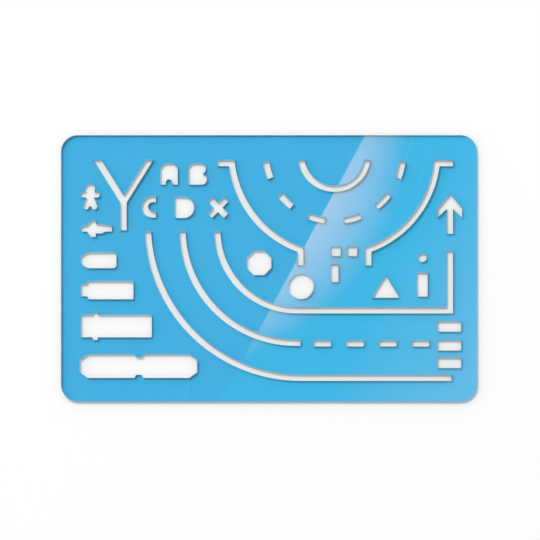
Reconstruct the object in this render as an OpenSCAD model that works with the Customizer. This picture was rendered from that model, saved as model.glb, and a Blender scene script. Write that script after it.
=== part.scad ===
// Road drawing template: one thin plate of see-through blue plastic with
// forty cut-outs to draw along: road lines, half a roundabout, a forked
// junction, traffic signs, marking letters, vehicles and a walking figure.
// All sizes are millimetres. The plate lies flat, centred on the origin,
// with its underside at z = 0 and the top of the drawing towards +y.
// The drawing keeps its full size on a larger plate and shrinks as one on
// a plate too small for it, while the pen slots keep their width.

/* [Plate] */
// Length of the plate
plate_w = 125; // [90:1:200]
// Depth of the plate
plate_d = 80; // [58:1:140]
// Thickness of the plate
plate_t = 1.0; // [0.6:0.1:3]
// Radius of the four corners
plate_corner = 5; // [1:0.5:10]
// Least plastic left and right of the drawing
side_margin = 4.5; // [3:0.1:10]
// Least plastic above and below the drawing
end_margin = 6.0; // [3:0.1:10]
// Drawing set to the right of the middle of the plate
shift_right = 0.55; // [0:0.05:1]
// Drawing set below the middle of the plate
shift_down = 0.6; // [0:0.05:1.5]

/* [Pen slots] */
// Width of every line slot, for a pen or pencil tip
slot_w = 1.9; // [1.2:0.05:2.4]
// Rounding in the corners of the plain openings
nib_r = 0.3; // [0.1:0.05:0.45]

/* [Road bend] */
// Left end of the drawing to the outer road line
road_start = 20.45; // [19.5:0.05:23]
// Outer road line to the short right leg of the inner line
road_len = 90.8; // [90:0.05:92.6]
// Spacing of the three road lines on the standing part
lane_w = 10.45; // [8:0.05:12.6]
// Spacing of the three road lines on the level part
level_lane_w = 10.15; // [8.4:0.05:12.2]
// Middle line set above the middle of the level part
middle_lift = 0.4; // [0:0.05:0.6]
// Radius of the outer bend
bend_outer_r = 45.9; // [38:0.1:50]
// Radius of the middle bend
bend_middle_r = 33.9; // [27:0.1:40]
// Radius of the inner bend
bend_inner_r = 23.8; // [19:0.1:27]
// Height of the upper ends of the three lines above the bottom of the drawing
bend_rise = 45.0; // [39:0.1:46]
// Height of the short right leg above the inner line
leg_rise = 17.85; // [13:0.05:20]
// Length of one centre line dash
dash_l = 5.3; // [3.5:0.1:7]
// Plastic between the middle line and the first dash
dash_start = 3.95; // [2:0.05:5]
// Plastic between the last dash and the crossing bars
dash_land = 2.4; // [1.6:0.05:3.5]
// Length of the crossing bars
zebra_l = 7.15; // [5:0.05:9]
// Thickness of one crossing bar
zebra_t = 3.15; // [2:0.05:3.8]
// Top crossing bar set above the even spacing, the lowest one half as much
zebra_lift = 0.3; // [0:0.05:0.5]
// Crossing bars set to the left of the right leg
zebra_back = 0.2; // [0:0.05:0.6]

/* [Roundabout] */
// Left end of the drawing to the middle of the roundabout
ring_x = 76.5; // [75.5:0.05:77.5]
// Middle of the roundabout above the level where its upper half is cut off
ring_drop = 2.35; // [1.5:0.05:4]
// Radius of the island line
island_r = 10; // [7.5:0.1:12.5]
// Island set below the middle of the roundabout
island_drop = 1.0; // [0:0.1:1.4]
// Radius of the dashed lane line
ring_r = 20.7; // [17:0.1:25]
// Angle spanned by one dash of the lane line
ring_dash = 14.4; // [9:0.1:20]
// Radius of the outer line
rim_r = 31; // [25.5:0.1:31.5]
// Middle of the leaving road to each of its two lines
leave_half = 10.2; // [8.5:0.1:12.4]
// Length of those two lines
leave_l = 4.8; // [3:0.1:6]
// Plastic between those two lines and the inner road line
leave_land = 12.5; // [10.4:0.1:15]
// Length of the level line at the left side
shoulder_l = 4.3; // [2.5:0.1:5.2]

/* [Forked junction] */
// Left end of the drawing to the stem
fork_x = 13.15; // [12.5:0.05:14]
// Lower end of the stem above the ends of the road lines
stem_base = 0.3; // [0:0.1:1]
// Length of the stem up to the fork
stem_l = 8.6; // [6:0.1:10.4]
// Height of the arms above the fork
arm_rise = 12.6; // [9:0.1:15.2]
// Angle of each arm from the line of the stem
arm_angle = 32; // [24:0.5:33]

/* [Traffic signs] */
// Octagon across its flats
octagon_w = 7.4; // [5.5:0.1:9]
// Direction from the middle of the roundabout to the octagon
octagon_turn = 235.8; // [232:0.2:240]
// Diameter of the round sign
disc_d = 7.65; // [5:0.05:9.2]
// Round sign set to the right of the line above it
disc_out = 0.2; // [0:0.05:0.5]
// Base of the triangle
triangle_w = 8.3; // [5.5:0.1:9.6]
// Height of the triangle
triangle_h = 6.75; // [4.8:0.05:8.1]
// Middle of the roundabout to the triangle
triangle_out = 15.4; // [14.5:0.05:17]
// Plastic between the triangle and the inner road line
triangle_land = 2.8; // [2:0.1:4]
// Side of the two small squares
square_w = 3.0; // [2:0.05:3.8]
// Spacing of the two small squares
square_pitch = 5.0; // [4.4:0.05:5.6]
// First square to the right of the middle of the roundabout
square_out = 0.4; // [0:0.05:0.6]
// Middle of the squares above the ends of the leaving road
square_rise = 4.3; // [3:0.1:6]
// Width of the small upright bar
bar_w = 2.35; // [1.6:0.05:3]
// Length of the small upright bar
bar_l = 5.5; // [4:0.1:6.8]
// Plastic between the squares and the upright bar
bar_land = 2.3; // [1.6:0.1:3]
// Width of the body of the information sign
info_w = 3.25; // [2.4:0.05:4]
// Height of the body of the information sign
info_h = 7.3; // [5:0.05:8.6]
// Plastic between that body and the inner road line
info_land = 3.15; // [2:0.05:4]
// Body of the information sign to the right leg of the inner line
info_back = 8.3; // [6.5:0.1:10]
// Diameter of the dot of the information sign
dot_d = 2.65; // [1.8:0.05:3]
// Plastic between the dot and the body
dot_land = 3.1; // [2.4:0.05:4.2]
// Full height of the arrow
arrow_h = 12.0; // [9:0.1:14]
// Width of the arrow head
arrow_w = 7.4; // [5.8:0.05:8.8]
// Height of the sloping upper edges of the arrow head
arrow_tip = 4.4; // [3:0.05:4.8]
// Height of the blunt sides of the arrow head
arrow_side = 2.7; // [1.9:0.05:3]
// Tip of the arrow to the top of its shaft
arrow_neck = 4.5; // [3.5:0.05:4.9]
// Plastic between the arrow and the right leg of the inner line
arrow_land = 5.1; // [3:0.1:7]

/* [Marking letters] */
// Height of the letters
letter_h = 6.4; // [5.2:0.1:7.8]
// Middle of the lower letters above the ends of the road lines
lower_row = 7.15; // [6.6:0.05:8]
// Middle of the upper letters above the middle of the lower ones
upper_row = 10.05; // [9.4:0.05:10.4]
// Left end of the drawing to the letter A
a_x = 24.2; // [23.8:0.05:24.8]
// Width of the letter A
a_w = 5.25; // [4.3:0.05:6.4]
// Left end of the drawing to the letter B
b_x = 32.7; // [32.2:0.05:33.2]
// Width of the letter B
b_w = 5.55; // [4.5:0.05:6.6]
// Left end of the drawing to the letter C
c_x = 18.65; // [18.4:0.05:19.2]
// Width of the letter C
c_w = 4.25; // [3.5:0.05:5.2]
// Letter C set above the middle of its row
c_lift = 0.2; // [0:0.05:0.4]
// Left end of the drawing to the letter D
d_x = 28.55; // [28:0.05:29]
// Width of the letter D
d_w = 5.85; // [4.8:0.05:7]
// Left end of the drawing to the middle of the letter X
x_x = 41.55; // [41:0.05:42]
// Length of each bar of the letter X
x_l = 7.0; // [5:0.05:8]

/* [Vehicles and figure] */
// Length of the jointed bus
bus_l = 35.3; // [24:0.1:42.4]
// Width of the jointed bus
bus_w = 7.15; // [5.6:0.05:8.6]
// Length of the sloping corners of the bus
bus_nose = 2.4; // [1.5:0.1:3]
// Width of the joint slots of the bus at its side
joint_w = 2.7; // [2:0.1:3.4]
// Depth of the joint slots of the bus
joint_d = 0.95; // [0.5:0.05:1.3]
// Length of the lorry
lorry_l = 21.3; // [14:0.1:25.6]
// Width of the lorry
lorry_w = 6.8; // [5:0.05:7.8]
// Front of the lorry to its mirrors
mirror_back = 3.4; // [2:0.1:5]
// Width of a lorry mirror
mirror_w = 1.7; // [1.2:0.1:2.2]
// How far the lorry mirrors stand out
mirror_out = 0.8; // [0.5:0.05:1.1]
// Length of the van
van_l = 15.8; // [10:0.1:19]
// Width of the van
van_w = 5.5; // [4.5:0.05:6.6]
// Length of the van cab
cab_l = 2.0; // [1.5:0.1:3]
// Width of the van cab
cab_w = 3.75; // [2.6:0.05:4.4]
// Length of the car
car_l = 10.7; // [7.5:0.05:12.6]
// Width of the car
car_w = 4.8; // [4:0.05:5.8]
// Length of the sloping front of the car
car_nose = 2.3; // [1.5:0.1:3]
// Width of the blunt front of the car
nose_w = 2.1; // [1:0.05:2.4]
// Radius of the rear corners of the car
car_r = 1.1; // [0.5:0.05:1.4]
// Length of the motorcycle
bike_l = 9.3; // [7.6:0.05:11]
// Width over the handlebar
bike_w = 5.1; // [4.2:0.05:6.2]
// Width of the motorcycle at the seat
seat_w = 2.95; // [2.4:0.05:3.5]
// Height of the walking figure
figure_h = 7.75; // [6.6:0.05:9.3]
// Width of the walking figure over its arms
figure_w = 5.85; // [4.7:0.05:6.8]
// Radius of the head
head_r = 1.5; // [1.2:0.05:1.8]
// Plastic below the bus, above the bottom of the drawing
bus_base = 0.9; // [0:0.05:1.6]
// Bus set out to the left of the rows above it
row_inset = 0.35; // [0:0.05:0.8]
// Plastic between the lorry and the van, and between the van and the car
row_land = 3.85; // [2.6:0.05:4.6]
// Plastic between the bus and the lorry mirror
wide_land = 4.25; // [2.8:0.05:5]
// Plastic between the car and the motorcycle
car_land = 4.55; // [2.8:0.05:5]
// Plastic between the motorcycle and the walking figure
figure_land = 3.2; // [2.2:0.05:4]

/* [Hidden] */
$fn = 96;

// heights of the road lines
outer_y = slot_w / 2;
road_mid = outer_y + level_lane_w;
middle_y = road_mid + middle_lift;
inner_y = road_mid + level_lane_w;
inner_top = inner_y + slot_w / 2;
leg_x = road_start + road_len;
// roundabout: foot of the leaving road, then its middle and its cut-off
leave_foot = inner_top + leave_land;
ring_y = leave_foot + leave_l + sqrt(rim_r * rim_r - leave_half * leave_half);
rim_top = ring_y - ring_drop;
// letter rows and fork
low_y = bend_rise + lower_row;
high_y = low_y + upper_row;
fork_y = bend_rise + stem_base + stem_l;
fork_top = fork_y + arm_rise;
// vehicles and figure, stacked upwards from the bus
bus_y = bus_base + bus_w / 2;
lorry_y = bus_y + bus_w / 2 + wide_land + mirror_out + lorry_w / 2;
van_y = lorry_y + lorry_w / 2 + mirror_out + row_land + van_w / 2;
car_y = van_y + van_w / 2 + row_land + car_w / 2;
bike_y = car_y + car_w / 2 + car_land + bike_w / 2;
figure_y = bike_y + bike_w / 2 + figure_land;
// full size of the drawing and the one scale that fits it on the plate
draw_w = leg_x + max(arrow_w, zebra_l) / 2;
draw_d = max(rim_top, fork_top, high_y + letter_h / 2, figure_y + figure_h);
fit_w = (plate_w - 2 * side_margin) / draw_w;
fit_d = (plate_d - 2 * end_margin) / draw_d;
fit = min(1, fit_w, fit_d);
// slot width inside the scaled drawing
slot = slot_w / fit;
// the bus stops short of the outer bend
bend_x = road_start + bend_outer_r;
bend_y = outer_y + bend_outer_r;
bus_reach = bend_outer_r + slot / 2 + 2;
bus_gap = bend_y - bus_y - bus_w / 2;
bus_room = bend_x - sqrt(bus_reach * bus_reach - bus_gap * bus_gap);
bus_len = min(bus_l, bus_room);

// rectangle with rounded corners, middle at x, y
module plain(x, y, w, h, r) {
    translate([x, y]) {
        square([w - 2 * r, h], center = true);
        square([w, h - 2 * r], center = true);
        for (i = [-1, 1])
            for (j = [-1, 1])
                translate([i * (w / 2 - r), j * (h / 2 - r)])
                    circle(r = r);
    }
}

// rectangle from x, y to the upper right
module block(x, y, w, h) {
    translate([x, y])
        square([w, h]);
}

// full circle line of radius r and slot width
module ring(r) {
    difference() {
        circle(r = r + slot / 2);
        circle(r = r - slot / 2);
    }
}

// pen slot through a rounded corner: upright at x, level at y
module bend(x, y, r, x_end) {
    intersection() {
        union() {
            translate([x + r, y + r])
                intersection() {
                    ring(r);
                    block(-2 * r, -2 * r, 2 * r, 2 * r);
                }
            block(x - slot / 2, y + r, slot, 2 * r);
            block(x + r, y - slot / 2, x_end - x - r, slot);
        }
        block(x - slot, y - slot, x_end - x + 2 * slot, bend_rise - y + slot);
    }
}

module road_lines() {
    x0 = road_start;
    bend(x0, outer_y, bend_outer_r, leg_x + slot / 4);
    bend(x0 + lane_w, middle_y, bend_middle_r, ring_x - leave_half);
    bend(x0 + 2 * lane_w, inner_y, bend_inner_r, leg_x + slot / 2);
    block(leg_x - slot / 2, inner_y, slot, leg_rise);
}

// dashes of the centre line, spread between the middle line and the bars
module lane_dashes() {
    from = ring_x - leave_half + dash_start;
    to = leg_x - zebra_back - zebra_l / 2 - dash_land;
    y = road_mid + middle_lift / 2;
    pitch = (to - from - dash_l) / 3;
    for (i = [0:3])
        plain(from + dash_l / 2 + i * pitch, y, dash_l, slot, nib_r);
}

// crossing bars, spread evenly over the two lanes
module crossing() {
    gap = (2 * level_lane_w - slot - 3 * zebra_t) / 4;
    x = leg_x - zebra_back;
    y = road_mid - middle_lift;
    end_lift = [0.5, 0, 1];
    for (i = [-1:1])
        plain(x, y + i * (zebra_t + gap) + end_lift[i + 1] * zebra_lift, zebra_l, zebra_t, nib_r);
}

module island() {
    y = ring_y - island_drop;
    intersection() {
        translate([ring_x, y])
            ring(island_r);
        block(ring_x - 2 * rim_r, rim_top - 2 * rim_r, 4 * rim_r, 2 * rim_r);
    }
}

module ring_dashes() {
    far = 2 * ring_r;
    half = ring_dash / 2;
    for (a = [195:30:345])
        translate([ring_x, ring_y])
            rotate(a)
                intersection() {
                    ring(ring_r);
                    polygon([
                        [0, 0],
                        [far * cos(half), -far * sin(half)],
                        [far * cos(half), far * sin(half)]
                    ]);
                }
}

// one side of the outer line, drawn to the right of the middle
module rim_side(shoulder_end) {
    start = sqrt(rim_r * rim_r - pow(ring_drop + slot / 2, 2));
    joint_y = ring_y - sqrt(rim_r * rim_r - leave_half * leave_half);
    intersection() {
        translate([0, ring_y])
            ring(rim_r);
        block(leave_half - slot / 2, rim_top - 2 * rim_r, 2 * rim_r, 2 * rim_r);
    }
    block(start, rim_top - slot, shoulder_end - start, slot);
    block(leave_half - slot / 2, leave_foot, slot, joint_y - leave_foot);
}

module rim() {
    left_end = sqrt(rim_r * rim_r - pow(ring_drop + slot / 2, 2)) + shoulder_l;
    translate([ring_x, 0])
        rim_side(leg_x + slot / 2 - ring_x);
    translate([ring_x, 0])
        mirror([1, 0])
            rim_side(left_end);
}

// stem and two slanting arms, cut level at the top
module fork() {
    s = slot / 2;
    run = arm_rise * tan(arm_angle);
    wide = s / cos(arm_angle);
    crotch = s / sin(arm_angle);
    bend_up = (wide - s) / tan(arm_angle);
    polygon([
        [fork_x - s, fork_y - stem_l],
        [fork_x + s, fork_y - stem_l],
        [fork_x + s, fork_y - bend_up],
        [fork_x + run + wide, fork_top],
        [fork_x + run - wide, fork_top],
        [fork_x, fork_y + crotch],
        [fork_x - run + wide, fork_top],
        [fork_x - run - wide, fork_top],
        [fork_x - s, fork_y - bend_up]
    ]);
}

// the octagon stands midway between the outer line and the inner bend
module octagon() {
    ux = cos(octagon_turn);
    uy = sin(octagon_turn);
    r = bend_inner_r - slot / 2;
    dx = ring_x - road_start - 2 * lane_w - bend_inner_r;
    dy = ring_y - inner_y - bend_inner_r;
    along = dx * ux + dy * uy;
    reach = sqrt(along * along - dx * dx - dy * dy + r * r) - along;
    mid = (rim_r + slot / 2 + reach) / 2;
    translate([ring_x + mid * ux, ring_y + mid * uy])
        rotate(22.5)
            circle(r = octagon_w / 2 / cos(22.5), $fn = 8);
}

// the round sign stands midway between the leaving road and the inner line
module disc() {
    x = ring_x - leave_half + disc_out;
    translate([x, (leave_foot + inner_top) / 2])
        circle(d = disc_d);
}

module triangle() {
    x = ring_x + triangle_out;
    y = inner_top + triangle_land;
    polygon([
        [x - triangle_w / 2, y],
        [x + triangle_w / 2, y],
        [x, y + triangle_h]
    ]);
}

module info_sign() {
    x = leg_x - info_back;
    y = inner_top + info_land;
    plain(x, y + info_h / 2, info_w, info_h, nib_r);
    translate([x, y + info_h + dot_land + dot_d / 2])
        circle(d = dot_d);
}

module small_signs() {
    x = ring_x + square_out;
    y = leave_foot + square_rise;
    plain(x, y, square_w, square_w, nib_r);
    plain(x + square_pitch, y, square_w, square_w, nib_r);
    plain(x - (square_w - bar_w) / 2, y - square_w / 2 - bar_land - bar_l / 2, bar_w, bar_l, nib_r);
}

module arrow() {
    foot = inner_y + leg_rise + arrow_land;
    top = foot + arrow_h;
    low = top - arrow_tip - arrow_side;
    polygon([
        [leg_x - slot / 2, foot],
        [leg_x + slot / 2, foot],
        [leg_x + slot / 2, top - arrow_neck],
        [leg_x + arrow_w / 2, low],
        [leg_x + arrow_w / 2, top - arrow_tip],
        [leg_x, top],
        [leg_x - arrow_w / 2, top - arrow_tip],
        [leg_x - arrow_w / 2, low],
        [leg_x - slot / 2, top - arrow_neck]
    ]);
}

module letter_a() {
    r = a_w * 0.4;
    foot = high_y - letter_h / 2;
    mid = a_x + a_w / 2;
    difference() {
        union() {
            block(a_x, foot, a_w, letter_h - r);
            block(a_x + r, foot, a_w - 2 * r, letter_h);
            for (i = [-1, 1])
                translate([mid + i * (a_w / 2 - r), foot + letter_h - r])
                    circle(r = r);
        }
        block(mid - slot / 2, foot - 1, slot, 1.65);
        translate([mid, foot + 0.65])
            circle(d = slot);
    }
}

module letter_b() {
    lobe = letter_h * 0.258;
    r = letter_h * 0.26;
    foot = high_y - letter_h / 2;
    x = b_x + b_w - lobe;
    waist = 0.35;
    difference() {
        block(b_x, foot, b_w - lobe - waist, letter_h);
        block(b_x - r, foot + letter_h - r, 2 * r, 2 * r);
    }
    translate([b_x + r, foot + letter_h - r])
        circle(r = r);
    translate([x - waist, foot + letter_h - lobe])
        circle(r = lobe);
    translate([x, foot + lobe])
        circle(r = lobe);
    block(x - 2 * waist, foot, 2 * waist, lobe);
}

module letter_c() {
    r = letter_h * 0.512;
    x = c_x + r;
    y = low_y + c_lift;
    intersection() {
        translate([x, y])
            ring(r - slot / 2);
        block(x - 2 * r, y - 2 * r, 2 * r, 4 * r);
    }
    block(x, y + r - slot, c_w - r, slot);
    block(x, y - r, c_w - r, slot);
}

module letter_d() {
    r = letter_h / 2;
    block(d_x, low_y - r, d_w - r, letter_h);
    intersection() {
        translate([d_x + d_w - r, low_y])
            circle(r = r);
        block(d_x + d_w - r, low_y - r, r, letter_h);
    }
}

module letter_x() {
    for (a = [45, 135])
        translate([x_x, low_y])
            rotate(a)
                plain(0, 0, x_l, slot, nib_r);
}

module bus() {
    h = bus_w / 2;
    s = bus_nose * 0.7;
    mid = bus_len * 0.503;
    a = joint_w / 2;
    b = a - joint_d * 0.6;
    d = joint_d;
    translate([0, bus_y])
        polygon([
            [0, s - h],
            [bus_nose, -h],
            [mid - a, -h],
            [mid - b, d - h],
            [mid + b, d - h],
            [mid + a, -h],
            [bus_len - bus_nose, -h],
            [bus_len, s - h],
            [bus_len, h - s],
            [bus_len - bus_nose, h],
            [mid + a, h],
            [mid + b, h - d],
            [mid - b, h - d],
            [mid - a, h],
            [bus_nose, h],
            [0, h - s]
        ]);
}

module lorry() {
    h = lorry_w / 2;
    x = row_inset;
    m = mirror_back;
    plain(x + lorry_l / 2, lorry_y, lorry_l, lorry_w, nib_r);
    for (side = [0, 1])
        translate([x, lorry_y])
            mirror([0, side])
                polygon([
                    [m, h - 0.5],
                    [m, h],
                    [m + 0.25 * mirror_w, h + mirror_out],
                    [m + mirror_w, h + mirror_out],
                    [m + mirror_w, h - 0.5]
                ]);
}

module van() {
    x = row_inset;
    plain(x + cab_l + (van_l - cab_l) / 2, van_y, van_l - cab_l, van_w, nib_r);
    plain(x + cab_l, van_y, 2 * cab_l, cab_w, nib_r);
}

module car() {
    x = row_inset;
    h = car_w / 2;
    n = nose_w / 2;
    bulge = n + 0.64 * (h - n);
    plain(x + car_nose + (car_l - car_nose) / 2, car_y, car_l - car_nose, car_w, car_r);
    polygon([
        [x, car_y - n],
        [x + 0.48 * car_nose, car_y - bulge],
        [x + car_nose, car_y - h],
        [x + car_nose + car_r, car_y - h],
        [x + car_nose + car_r, car_y + h],
        [x + car_nose, car_y + h],
        [x + 0.48 * car_nose, car_y + bulge],
        [x, car_y + n]
    ]);
}

module motorcycle() {
    x = row_inset;
    s = slot / 2;
    w = bike_w / 2;
    seat = seat_w / 2;
    plain(x + bike_l / 4, bike_y, bike_l / 2, slot, s * 0.9);
    translate([x, bike_y])
        polygon([
            [0.21 * bike_l, -0.45 * w],
            [0.30 * bike_l, -0.82 * w],
            [0.35 * bike_l, -w],
            [0.48 * bike_l, -w],
            [0.48 * bike_l, -seat],
            [0.66 * bike_l, -seat],
            [0.79 * bike_l, -s],
            [bike_l, -0.92 * s],
            [bike_l, s],
            [0.74 * bike_l, 0.5 * (s + seat)],
            [0.48 * bike_l, seat],
            [0.48 * bike_l, w],
            [0.35 * bike_l, w],
            [0.30 * bike_l, 0.82 * w],
            [0.21 * bike_l, 0.45 * w]
        ]);
}

module walker() {
    limb = slot * 0.48;
    x = figure_w / 2 + 0.2;
    arm_y = figure_y + 0.58 * figure_h;
    leg_y = figure_y + limb;
    leg_out = figure_w * 0.21;
    foot_out = leg_out + limb;
    waist = figure_w * 0.2;
    translate([x, figure_y + figure_h - head_r])
        circle(r = head_r);
    plain(x, arm_y, figure_w, 2 * limb, limb * 0.98);
    for (i = [-1, 1])
        translate([x + i * leg_out, leg_y])
            circle(r = limb);
    polygon([
        [x - waist, arm_y],
        [x - waist, arm_y - limb],
        [x - foot_out, leg_y + 0.1],
        [x - leg_out, leg_y],
        [x, leg_y],
        [x + leg_out, leg_y],
        [x + foot_out, leg_y + 0.1],
        [x + waist, arm_y - limb],
        [x + waist, arm_y]
    ]);
}

module drawing() {
    road_lines();
    lane_dashes();
    crossing();
    island();
    ring_dashes();
    rim();
    fork();
    octagon();
    disc();
    triangle();
    info_sign();
    small_signs();
    arrow();
    letter_a();
    letter_b();
    letter_c();
    letter_d();
    letter_x();
    bus();
    lorry();
    van();
    car();
    motorcycle();
    walker();
}

module stencil_plate() {
    color([0.27, 0.69, 0.88])
        linear_extrude(height = plate_t)
            difference() {
                plain(0, 0, plate_w, plate_d, plate_corner);
                translate([shift_right * fit, -shift_down * fit])
                    scale([fit, fit])
                        translate([-draw_w / 2, -draw_d / 2])
                            drawing();
            }
}

stencil_plate();
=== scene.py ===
import math

import bpy
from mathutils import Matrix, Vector


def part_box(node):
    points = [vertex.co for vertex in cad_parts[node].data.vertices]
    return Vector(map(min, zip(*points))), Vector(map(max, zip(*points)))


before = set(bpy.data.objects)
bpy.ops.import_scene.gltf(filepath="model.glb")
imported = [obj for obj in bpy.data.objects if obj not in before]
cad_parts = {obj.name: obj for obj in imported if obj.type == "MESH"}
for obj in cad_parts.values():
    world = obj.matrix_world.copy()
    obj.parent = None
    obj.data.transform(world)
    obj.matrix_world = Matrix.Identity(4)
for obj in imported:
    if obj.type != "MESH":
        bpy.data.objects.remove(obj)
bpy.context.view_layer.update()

# A see-through blue drawing template lying on white paper, seen from straight above.
# The plate is the CAD node itself, with rounded rims and a procedural plastic.
# Lengths are metres, and MM turns millimetres into them.

MM = 0.001
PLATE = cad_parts["stencil_plate"]
TOP_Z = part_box("stencil_plate")[1][2]

# Blender's socket numbers where a node has sockets of one name, or the first is not wanted.
OBJECT_COORDS = 3
TRUE_NORMAL = 3
BACKFACING = 6
DOT_VALUE = 1
AXIS_X, AXIS_Y, AXIS_Z = 0, 1, 2


class Tree:
    """Writes a node graph, one line for each node. A value may be a number, a colour or a socket."""

    def __init__(self, owner):
        owner.use_nodes = True
        self.nt = owner.node_tree
        self.nt.nodes.clear()

    def put(self, socket, value):
        if isinstance(value, bpy.types.NodeSocket):
            self.nt.links.new(value, socket)
        else:
            socket.default_value = value

    def node(self, kind, out=0, props=None, **inputs):
        n = self.nt.nodes.new(kind)
        for key, value in (props or {}).items():
            setattr(n, key, value)
        for key, value in inputs.items():
            self.put(n.inputs[key.replace("_", " ")], value)
        return n.outputs[out]

    def math(self, op, a, b=0.0, c=0.0, clamp=False):
        n = self.nt.nodes.new("ShaderNodeMath")
        n.operation = op
        n.use_clamp = clamp
        for socket, value in zip(n.inputs, (a, b, c)):
            self.put(socket, value)
        return n.outputs[0]

    def ramp(self, value, low, high, to_low=0.0, to_high=1.0):
        return self.node(
            "ShaderNodeMapRange",
            Value=value,
            From_Min=low,
            From_Max=high,
            To_Min=to_low,
            To_Max=to_high,
        )

    def mix(self, factor, a, b):
        """A colour mix. The node has sockets of one name for each data type, so numbers pick them."""
        n = self.nt.nodes.new("ShaderNodeMix")
        n.data_type = "RGBA"
        for i, value in ((0, factor), (6, a), (7, b)):
            self.put(n.inputs[i], value)
        return n.outputs[2]

    def mix_shader(self, factor, a, b):
        n = self.nt.nodes.new("ShaderNodeMixShader")
        for socket, value in zip(n.inputs, (factor, a, b)):
            self.put(socket, value)
        return n.outputs[0]

    def axis(self, vector, index):
        return self.node("ShaderNodeSeparateXYZ", out=index, Vector=vector)

    def place(self, vector, turn, scale):
        """The vector scaled along its axes after a turn about z, in degrees."""
        turned = self.node("ShaderNodeMapping", Vector=vector, Rotation=(0.0, 0.0, math.radians(turn)))
        return self.node("ShaderNodeMapping", Vector=turned, Scale=scale)

    def noise(self, vector, scale, detail=2.0, rough=0.5):
        return self.node("ShaderNodeTexNoise", Vector=vector, Scale=scale, Detail=detail, Roughness=rough)

    def finish(self, surface, kind="ShaderNodeOutputMaterial"):
        self.put(self.nt.nodes.new(kind).inputs["Surface"], surface)


def colour(*rgb):
    return (*rgb, 1.0)


# The plastic. One crossing of the sheet takes SHEET_TINT out of the light. Cut walls look deeper.
SHEET_TINT = (0.208, 0.642, 0.854)
SHEET_PALE = (0.222, 0.660, 0.866)
SCRATCH_TINT = (0.62, 0.86, 0.95)
SCRATCH_TINT_SHARE = 0.20
WALL_TINT = (0.030, 0.330, 0.600)
WALL_CLEAR = 0.35
# A face whose normal rises or falls by less than this is a cut wall.
WALL_SLOPE = 0.35
REFRACTION = 1.49

# Noise: scale, detail, roughness, and the two values between which it goes from 0 to 1.
CLOUDS = (38.0, 3.0, 0.5, 0.35, 0.65)
SMUDGES = (120.0, 4.0, 0.6, 0.45, 0.75)
GRAIN_SCALE = 5200.0
CUTTER_SCALE = (2600.0, 2600.0, 260.0)
# Scratches: direction in degrees, scale across, scale along, and the least noise that shows.
SCRATCHES = ((17, 900.0, 14.0, 0.735), (74, 1100.0, 17.0, 0.745), (128, 760.0, 11.0, 0.735))
SCRATCH_EDGE = 0.05

ROUGH_CLEAN = 0.010
ROUGH_SMUDGE = 0.010
ROUGH_SCRATCH = 0.10
ROUGH_WALL = (0.10, 0.24)
HEIGHT_SCRATCH = -0.05
HEIGHT_GRAIN = 0.002
HEIGHT_CUTTER = 3.0
BUMP_STRENGTH = 0.35
BUMP_DEPTH = 0.004 * MM

# What light on its way to the paper keeps at one face of the sheet, and at a cut wall. At the walls
# these colours are painted shade, set by which way a wall faces and made for the lamp at the upper left:
# a painted dark line in the sheet beside walls that face up or left, and a painted shadow, darker near
# the paper, beside walls that face down or right.
FACE_PASS = (0.479, 0.826, 0.953)
PAINTED_SHADOW_LOW = (0.08, 0.10, 0.12)
PAINTED_SHADOW_HIGH = (0.31, 0.34, 0.36)
PAINTED_LIT_PASS = (0.50, 0.31, 0.28)
PAINTED_LINE_DARK = (0.0, 0.02, 0.04)
# The painted dark line stops light up to this height, and higher where the wall faces left.
PAINTED_LINE_TOP = 0.64 * MM
PAINTED_LINE_MORE = 0.36 * MM
PAINTED_LINE_EDGE = 0.1 * MM


def scratch_lines(t, at):
    """Short fine scratches in three directions, 1 on a scratch and 0 beside it."""
    lines = 0.0
    for turn, across, along, least in SCRATCHES:
        streak = t.noise(t.place(at, turn, (across, along, 1.0)), 1.0, 1.0)
        lines = t.math("MAXIMUM", lines, t.ramp(streak, least, least + SCRATCH_EDGE))
    return lines


def painted_wall_shade(t, at):
    """Painted shade at a cut wall: what light keeps there, by the way the wall faces and the height where
    it is met.
    """
    z = t.axis(at, AXIS_Z)
    geometry = t.nt.nodes.new("ShaderNodeNewGeometry")
    leaving = geometry.outputs["Backfacing"]
    outward = t.node(
        "ShaderNodeVectorMath",
        props={"operation": "SCALE"},
        Vector=geometry.outputs["True Normal"],
        Scale=t.ramp(leaving, 0.0, 1.0, 1.0, -1.0),
    )
    right = t.axis(outward, AXIS_X)
    back = t.axis(outward, AXIS_Y)
    front = t.math("MULTIPLY", back, -1.0)
    shadowed = t.math("MULTIPLY_ADD", t.math("MAXIMUM", right, 0.0), 0.5, front, clamp=True)
    facing = t.math("SUBTRACT", t.math("MAXIMUM", back, 0.0), right, clamp=True)

    # Painted shadow beside walls that face down or right, darker near the paper.
    shade = t.mix(t.ramp(z, 0.0, TOP_Z), colour(*PAINTED_SHADOW_LOW), colour(*PAINTED_SHADOW_HIGH))
    painted_shade_in = t.mix(shadowed, colour(*PAINTED_LIT_PASS), shade)

    # Painted dark line in the sheet beside walls that face up or left.
    left = t.math("MINIMUM", right, 0.0)
    above = t.math("MULTIPLY_ADD", left, PAINTED_LINE_MORE, t.math("SUBTRACT", z, PAINTED_LINE_TOP))
    line = t.mix(t.ramp(above, 0.0, PAINTED_LINE_EDGE), colour(*PAINTED_LINE_DARK), colour(*FACE_PASS))
    painted_shade_out = t.mix(facing, colour(*FACE_PASS), line)
    return t.mix(leaving, painted_shade_in, painted_shade_out)


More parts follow.
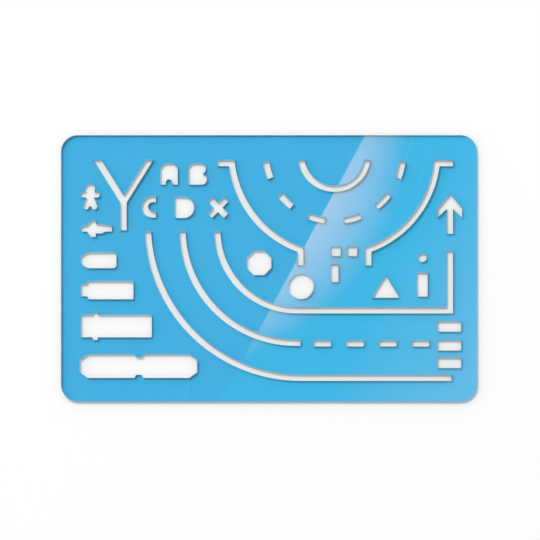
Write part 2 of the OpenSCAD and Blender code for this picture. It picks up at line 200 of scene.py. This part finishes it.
def sheet_plastic():
    """Clear blue plastic. Light on its way to the paper meets a see-through stand-in instead, and its
    colour at the cut walls is painted shade.
    """
    mat = bpy.data.materials.new("blue_sheet")
    t = Tree(mat)
    at = t.node("ShaderNodeTexCoord", out=OBJECT_COORDS)
    up = t.axis(t.node("ShaderNodeNewGeometry", out=TRUE_NORMAL), AXIS_Z)
    wall = t.math("LESS_THAN", t.math("ABSOLUTE", up), WALL_SLOPE)

    clouds = t.ramp(t.noise(at, *CLOUDS[:3]), *CLOUDS[3:])
    smudges = t.ramp(t.noise(at, *SMUDGES[:3]), *SMUDGES[3:])
    grain = t.noise(at, GRAIN_SCALE)
    scratches = scratch_lines(t, at)
    cutter_marks = t.noise(t.place(at, 0, CUTTER_SCALE), 1.0)

    face = t.mix(clouds, colour(*SHEET_TINT), colour(*SHEET_PALE))
    face = t.mix(t.math("MULTIPLY", scratches, SCRATCH_TINT_SHARE), face, colour(*SCRATCH_TINT))
    tint = t.mix(wall, face, colour(*WALL_TINT))

    rough = t.math("MULTIPLY_ADD", smudges, ROUGH_SMUDGE, ROUGH_CLEAN)
    rough = t.math("MULTIPLY_ADD", scratches, ROUGH_SCRATCH, rough)
    rough_wall = t.math("MULTIPLY", wall, t.ramp(cutter_marks, 0.3, 0.7, *ROUGH_WALL))
    rough = t.math("MAXIMUM", rough, rough_wall)

    height = t.math("MULTIPLY_ADD", scratches, HEIGHT_SCRATCH, t.math("MULTIPLY", grain, HEIGHT_GRAIN))
    height = t.math("MULTIPLY_ADD", t.math("MULTIPLY", cutter_marks, wall), HEIGHT_CUTTER, height)
    bump = t.node("ShaderNodeBump", Strength=BUMP_STRENGTH, Distance=BUMP_DEPTH, Height=height)

    plastic = t.node(
        "ShaderNodeBsdfPrincipled",
        Base_Color=tint,
        Roughness=rough,
        IOR=REFRACTION,
        Transmission_Weight=t.ramp(wall, 0.0, 1.0, 1.0, WALL_CLEAR),
        Normal=bump,
    )
    # Light to the paper keeps FACE_PASS at the faces and painted shade at the cut walls.
    pass_with_painted_shade = t.mix(wall, colour(*FACE_PASS), painted_wall_shade(t, at))
    clear = t.node("ShaderNodeBsdfTransparent", Color=pass_with_painted_shade)
    path = t.nt.nodes.new("ShaderNodeLightPath")
    lit = t.mix_shader(path.outputs["Is Shadow Ray"], plastic, clear)
    t.finish(t.mix_shader(path.outputs["Is Diffuse Ray"], lit, clear))
    return mat


RIM_W = 0.05 * MM
RIM_STEPS = 2
RIM_ANGLE = 50
JOIN_GAP = 0.001 * MM
FLAT_ANGLE = 0.5


def round_rims(obj):
    """Breaks the sharp rims of the plate and of every cut-out."""
    join = obj.modifiers.new("join", "WELD")
    join.merge_threshold = JOIN_GAP
    flat = obj.modifiers.new("merge_flat", "DECIMATE")
    flat.decimate_type = "DISSOLVE"
    flat.angle_limit = math.radians(FLAT_ANGLE)
    rim = obj.modifiers.new("rim", "BEVEL")
    rim.width = RIM_W
    rim.segments = RIM_STEPS
    rim.limit_method = "ANGLE"
    rim.angle_limit = math.radians(RIM_ANGLE)
    rim.use_clamp_overlap = False
    rim.harden_normals = True


PLATE.data.materials.clear()
PLATE.data.materials.append(sheet_plastic())
round_rims(PLATE)

# The paper. It lies a little below the plate, so that the two never share a plane.
PAPER_WHITE = 0.93
PAPER_HALF = 4.0
PAPER_Z = -0.03 * MM


def flat_square(name, half_x, half_y, z, mat):
    """A level rectangle for the stage, centred on the origin."""
    corners = [(-half_x, -half_y, z), (half_x, -half_y, z), (half_x, half_y, z), (-half_x, half_y, z)]
    mesh = bpy.data.meshes.new(name)
    mesh.from_pydata(corners, [], [(0, 1, 2, 3)])
    mesh.materials.append(mat)
    obj = bpy.data.objects.new(name, mesh)
    bpy.context.scene.collection.objects.link(obj)
    return obj


def white_paper():
    """Plain white, and open to a camera that looks up from below it."""
    mat = bpy.data.materials.new("white_paper")
    t = Tree(mat)
    white = t.node("ShaderNodeBsdfDiffuse", Color=colour(PAPER_WHITE, PAPER_WHITE, PAPER_WHITE))
    below = t.node("ShaderNodeNewGeometry", out=BACKFACING)
    path = t.nt.nodes.new("ShaderNodeLightPath")
    opened = t.math("MULTIPLY", below, path.outputs["Is Camera Ray"])
    t.finish(t.mix_shader(opened, white, t.node("ShaderNodeBsdfTransparent")))
    return mat


flat_square("floor", PAPER_HALF, PAPER_HALF, PAPER_Z, white_paper())

# The light: one soft lamp from the upper left, and a sky that is brighter near the horizon on the
# lamp's side. Camera and refracted rays see plain white. Reflections see a dimmer room.
LAMP_WAY = Vector((-0.47, 0.80, 1.0)).normalized()
LAMP_REACH = 4.0
LAMP_SIZE = 1.5
LAMP_SHARE = 0.487
SKY_BASE = 0.38
SKY_RIM = 0.30
SKY_SIDE = 2.2
SKY_SIDE_REACH = 0.7
ROOM_TOP = 0.2
ROOM_RIM = 1.0
WHITE = 1.0


def sky():
    world = bpy.data.worlds.new("studio")
    bpy.context.scene.world = world
    t = Tree(world)
    way = t.node("ShaderNodeTexCoord")
    low = t.math("SUBTRACT", 1.0, t.math("MAXIMUM", t.axis(way, AXIS_Z), 0.0))
    low = t.math("POWER", low, 2.0)
    side = t.node("ShaderNodeVectorMath", out=DOT_VALUE, props={"operation": "DOT_PRODUCT"}, Vector=way)
    side.node.inputs[1].default_value = (LAMP_WAY.x, LAMP_WAY.y, 0.0)
    rim = t.math("MULTIPLY_ADD", t.ramp(side, -SKY_SIDE_REACH, SKY_SIDE_REACH), SKY_SIDE, SKY_RIM)
    glow = t.math("MULTIPLY_ADD", low, rim, SKY_BASE)
    room = t.math("MULTIPLY_ADD", low, ROOM_RIM, ROOM_TOP)
    path = t.nt.nodes.new("ShaderNodeLightPath")
    seen = t.math("MAXIMUM", path.outputs["Is Camera Ray"], path.outputs["Is Transmission Ray"])
    glow = t.ramp(path.outputs["Is Glossy Ray"], 0.0, 1.0, glow, room)
    strength = t.ramp(seen, 0.0, 1.0, glow, WHITE)
    back = t.node("ShaderNodeBackground", Color=colour(1, 1, 1), Strength=strength)
    t.finish(back, "ShaderNodeOutputWorld")


def soft_lamp():
    """Gives level white paper LAMP_SHARE of a full white."""
    light = bpy.data.lights.new("soft_lamp", "AREA")
    light.shape = "DISK"
    light.size = LAMP_SIZE
    light.energy = LAMP_SHARE * (math.pi * LAMP_REACH) ** 2 / LAMP_WAY.z
    obj = bpy.data.objects.new("soft_lamp", light)
    obj.location = LAMP_WAY * LAMP_REACH
    obj.rotation_mode = "QUATERNION"
    obj.rotation_quaternion = LAMP_WAY.to_track_quat("Z", "Y")
    obj.visible_camera = False
    obj.visible_glossy = False
    obj.visible_transmission = False
    bpy.context.scene.collection.objects.link(obj)


sky()
soft_lamp()

# The camera looks straight down, and the photograph's frame is FRAME_W wide at the plate's top.
FRAME_W = 162.26 * MM
SENSOR_W = 36.0
CAMERA_X = 0.27 * MM
CAMERA_Y = -0.51 * MM
CAMERA_REACH = 1.2
CAMERA_CLIP = (0.05, 20.0)


def camera():
    data = bpy.data.cameras.new("camera")
    data.sensor_width = SENSOR_W
    data.lens = SENSOR_W * CAMERA_REACH / FRAME_W
    data.clip_start, data.clip_end = CAMERA_CLIP
    obj = bpy.data.objects.new("camera", data)
    obj.location = (CAMERA_X, CAMERA_Y, TOP_Z + CAMERA_REACH)
    bpy.context.scene.collection.objects.link(obj)
    bpy.context.scene.camera = obj


# A window-like card above the plate gives the sheet its slanted highlight. Only reflections see it.
# Its glow is laid out where it shows on the plate, in mm: u across the straight edge, v along it.
CARD_REACH = 0.3
CARD_HALF = (0.15, 0.12)
CARD_EDGE = (28.9 * MM, 39.96 * MM)
CARD_ACROSS = (0.8774, -0.4797)
CARD_SOFT = 0.13
# Glow in red, green and blue: by the edge, over the whole card, and more of it far from the edge.
CARD_WARM = (8.2, 3.4, 1.4)
CARD_PLAIN = (-0.1, 1.05, 1.0)
CARD_FAR = (1.75, 0.75, 0.4)
WARM_DEPTH = 19.5
WARM_MIDDLE = 27.0
WARM_HALF = 50.0
FAR_FROM = 27.0
FAR_TO = 61.0


def glow_card():
    mat = bpy.data.materials.new("glow_card")
    t = Tree(mat)
    zoom = 1.0 + CARD_REACH / CAMERA_REACH
    at = t.node("ShaderNodeTexCoord", out=OBJECT_COORDS)
    x_shift = (CAMERA_X * (1 - 1 / zoom) - CARD_EDGE[0]) / MM
    y_shift = (CAMERA_Y * (1 - 1 / zoom) - CARD_EDGE[1]) / MM
    x = t.math("MULTIPLY_ADD", t.axis(at, AXIS_X), 1 / (zoom * MM), x_shift)
    y = t.math("MULTIPLY_ADD", t.axis(at, AXIS_Y), 1 / (zoom * MM), y_shift)
    ax, ay = CARD_ACROSS
    u = t.math("ADD", t.math("MULTIPLY", x, ax), t.math("MULTIPLY", y, ay))
    v = t.math("SUBTRACT", t.math("MULTIPLY", x, ay), t.math("MULTIPLY", y, ax))

    inside = t.ramp(u, -CARD_SOFT, CARD_SOFT)
    bulge = t.math("POWER", t.math("DIVIDE", t.math("SUBTRACT", v, WARM_MIDDLE), WARM_HALF), 2.0)
    depth = t.math("DIVIDE", u, WARM_DEPTH)
    warm = t.math("SUBTRACT", t.math("SUBTRACT", 1.0, bulge), depth, clamp=True)
    far = t.ramp(u, FAR_FROM, FAR_TO)
    channels = []
    for more, plain, tint in zip(CARD_FAR, CARD_PLAIN, CARD_WARM):
        level = t.math("MULTIPLY_ADD", far, more, plain)
        level = t.math("MULTIPLY_ADD", warm, tint, level)
        channels.append(t.math("MULTIPLY_ADD", level, inside, ROOM_TOP))
    red, green, blue = channels
    glow = t.node("ShaderNodeCombineXYZ", X=red, Y=green, Z=blue)
    t.finish(t.node("ShaderNodeEmission", Color=glow, Strength=1.0))

    card = flat_square("glow_card", *CARD_HALF, TOP_Z + CARD_REACH, mat)
    for ray in ("camera", "diffuse", "transmission", "volume_scatter", "shadow"):
        setattr(card, "visible_" + ray, False)


camera()
glow_card()
bpy.context.scene.view_settings.view_transform = "Standard"
